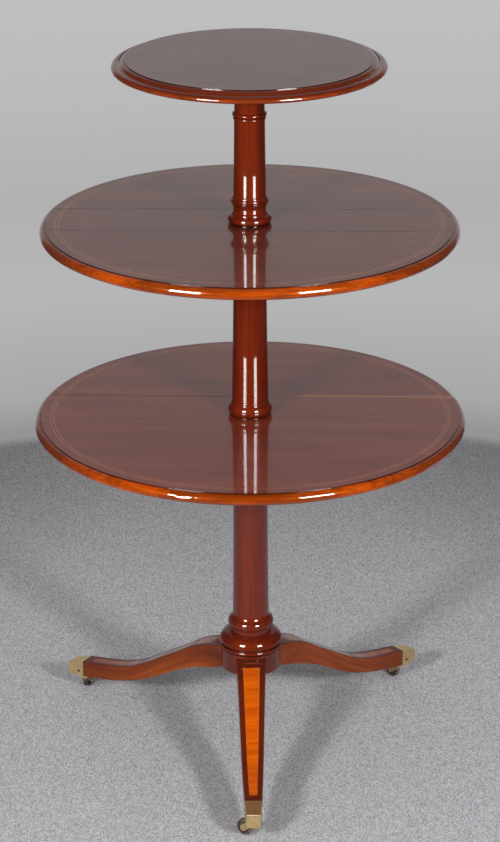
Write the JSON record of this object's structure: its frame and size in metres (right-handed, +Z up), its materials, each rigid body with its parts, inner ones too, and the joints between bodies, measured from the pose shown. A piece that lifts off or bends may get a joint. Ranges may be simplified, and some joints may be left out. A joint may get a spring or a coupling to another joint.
{
  "type": "dumbwaiter table",
  "caption": "Tiered round dumbwaiter table: turned mahogany column, revolving lower tiers, fixed small top, splayed inlaid legs with brass toe-caps on casters.",
  "frame": {"origin": "on the column's axis at floor level, where the caster wheels stand", "axes": "+Z up along the column, -Y along the front leg, +X to the right of it"},
  "size_m": [0.6242, 0.64, 1.055],
  "materials": {
    "lower_column": "polished dark mahogany, turned",
    "middle_column": "polished dark mahogany, turned",
    "upper_column": "polished dark mahogany, turned",
    "bottom_front_board": "French-polished mahogany board, grain along X",
    "bottom_centre_board": "French-polished mahogany board, grain along X",
    "bottom_back_board": "French-polished mahogany board, grain along X",
    "middle_front_board": "French-polished mahogany board, grain along X",
    "middle_centre_board": "French-polished mahogany board, grain along X",
    "middle_back_board": "French-polished mahogany board, grain along X",
    "top_board": "French-polished mahogany board, grain along X",
    "bottom_boss": "plain mahogany, oiled",
    "middle_boss": "plain mahogany, oiled",
    "top_block": "plain mahogany, oiled",
    "bottom_stringing": "boxwood stringing, polished",
    "middle_stringing": "boxwood stringing, polished",
    "top_stringing": "boxwood stringing, polished",
    "bottom_washer": "dull brass washer",
    "middle_washer": "dull brass washer",
    "bottom_boss_screws": "old steel wood screws",
    "middle_boss_screws": "old steel wood screws",
    "top_block_screws": "old steel wood screws",
    "brace_screws": "old steel wood screws",
    "brace_plate": "black iron plate",
    "toe_cap_pins": "tarnished brass pins",
    "leg_front": "polished dark mahogany",
    "leg_panel_front": "satinwood panel, polished",
    "toe_cap_front": "worn cast brass",
    "caster_pivot_front": "steel pivot pin",
    "caster_horn_front": "worn cast brass",
    "caster_axle_front": "steel axle pin",
    "caster_wheel_front": "turned brass wheel",
    "leg_right": "polished dark mahogany",
    "leg_panel_right": "satinwood panel, polished",
    "toe_cap_right": "worn cast brass",
    "caster_pivot_right": "steel pivot pin",
    "caster_horn_right": "worn cast brass",
    "caster_axle_right": "steel axle pin",
    "caster_wheel_right": "turned brass wheel",
    "leg_left": "polished dark mahogany",
    "leg_panel_left": "satinwood panel, polished",
    "toe_cap_left": "worn cast brass",
    "caster_pivot_left": "steel pivot pin",
    "caster_horn_left": "worn cast brass",
    "caster_axle_left": "steel axle pin",
    "caster_wheel_left": "turned brass wheel"
  },
  "bodies": {
    "stand": {"lower_column": "lower_column", "middle_column": "middle_column", "upper_column": "upper_column", "brace_plate": "brace_plate", "brace_screws": "brace_screws", "bottom_washer": "bottom_washer", "middle_washer": "middle_washer", "top_block": "top_block", "top_block_screws": "top_block_screws", "top_board": "top_board", "top_stringing": "top_stringing", "toe_cap_pins": "toe_cap_pins", "leg_front": "leg_front", "leg_right": "leg_right", "leg_left": "leg_left", "leg_panel_front": "leg_panel_front", "leg_panel_right": "leg_panel_right", "leg_panel_left": "leg_panel_left", "toe_cap_front": "toe_cap_front", "toe_cap_right": "toe_cap_right", "toe_cap_left": "toe_cap_left", "caster_pivot_front": "caster_pivot_front", "caster_pivot_right": "caster_pivot_right", "caster_pivot_left": "caster_pivot_left"},
    "bottom_tier": {"bottom_boss": "bottom_boss", "bottom_boss_screws": "bottom_boss_screws", "bottom_front_board": "bottom_front_board", "bottom_centre_board": "bottom_centre_board", "bottom_back_board": "bottom_back_board", "bottom_stringing": "bottom_stringing"},
    "middle_tier": {"middle_boss": "middle_boss", "middle_boss_screws": "middle_boss_screws", "middle_front_board": "middle_front_board", "middle_centre_board": "middle_centre_board", "middle_back_board": "middle_back_board", "middle_stringing": "middle_stringing"},
    "caster_front": {"caster_horn_front": "caster_horn_front", "caster_axle_front": "caster_axle_front"},
    "wheel_front": {"caster_wheel_front": "caster_wheel_front"},
    "caster_right": {"caster_horn_right": "caster_horn_right", "caster_axle_right": "caster_axle_right"},
    "wheel_right": {"caster_wheel_right": "caster_wheel_right"},
    "caster_left": {"caster_horn_left": "caster_horn_left", "caster_axle_left": "caster_axle_left"},
    "wheel_left": {"caster_wheel_left": "caster_wheel_left"}
  },
  "joints": [
    {"name": "bottom_tier_turn", "type": "hinge", "parent": "stand", "child": "bottom_tier", "pos_m": [0, 0, 0.502], "axis": [0, 0, 1], "continuous": true},
    {"name": "middle_tier_turn", "type": "hinge", "parent": "stand", "child": "middle_tier", "pos_m": [0, 0, 0.7915], "axis": [0, 0, 1], "continuous": true},
    {"name": "caster_front_swivel", "type": "hinge", "parent": "stand", "child": "caster_front", "pos_m": [0, -0.305, 0.0235], "axis": [0, 0, 1], "continuous": true},
    {"name": "wheel_front_spin", "type": "hinge", "parent": "caster_front", "child": "wheel_front", "pos_m": [-0.01202, -0.29689, 0.012], "axis": [-0.5592, -0.829, 0], "continuous": true},
    {"name": "caster_right_swivel", "type": "hinge", "parent": "stand", "child": "caster_right", "pos_m": [0.23703, 0.19194, 0.0235], "axis": [0, 0, 1], "continuous": true},
    {"name": "wheel_right_spin", "type": "hinge", "parent": "caster_right", "child": "wheel_right", "pos_m": [0.22696, 0.20237, 0.012], "axis": [-0.7193, -0.6947, 0], "continuous": true},
    {"name": "caster_left_swivel", "type": "hinge", "parent": "stand", "child": "caster_left", "pos_m": [-0.25866, 0.16162, 0.0235], "axis": [0, 0, 1], "continuous": true},
    {"name": "wheel_left_spin", "type": "hinge", "parent": "caster_left", "child": "wheel_left", "pos_m": [-0.25552, 0.17578, 0.012], "axis": [-0.9763, 0.2164, 0], "continuous": true}
  ]
}
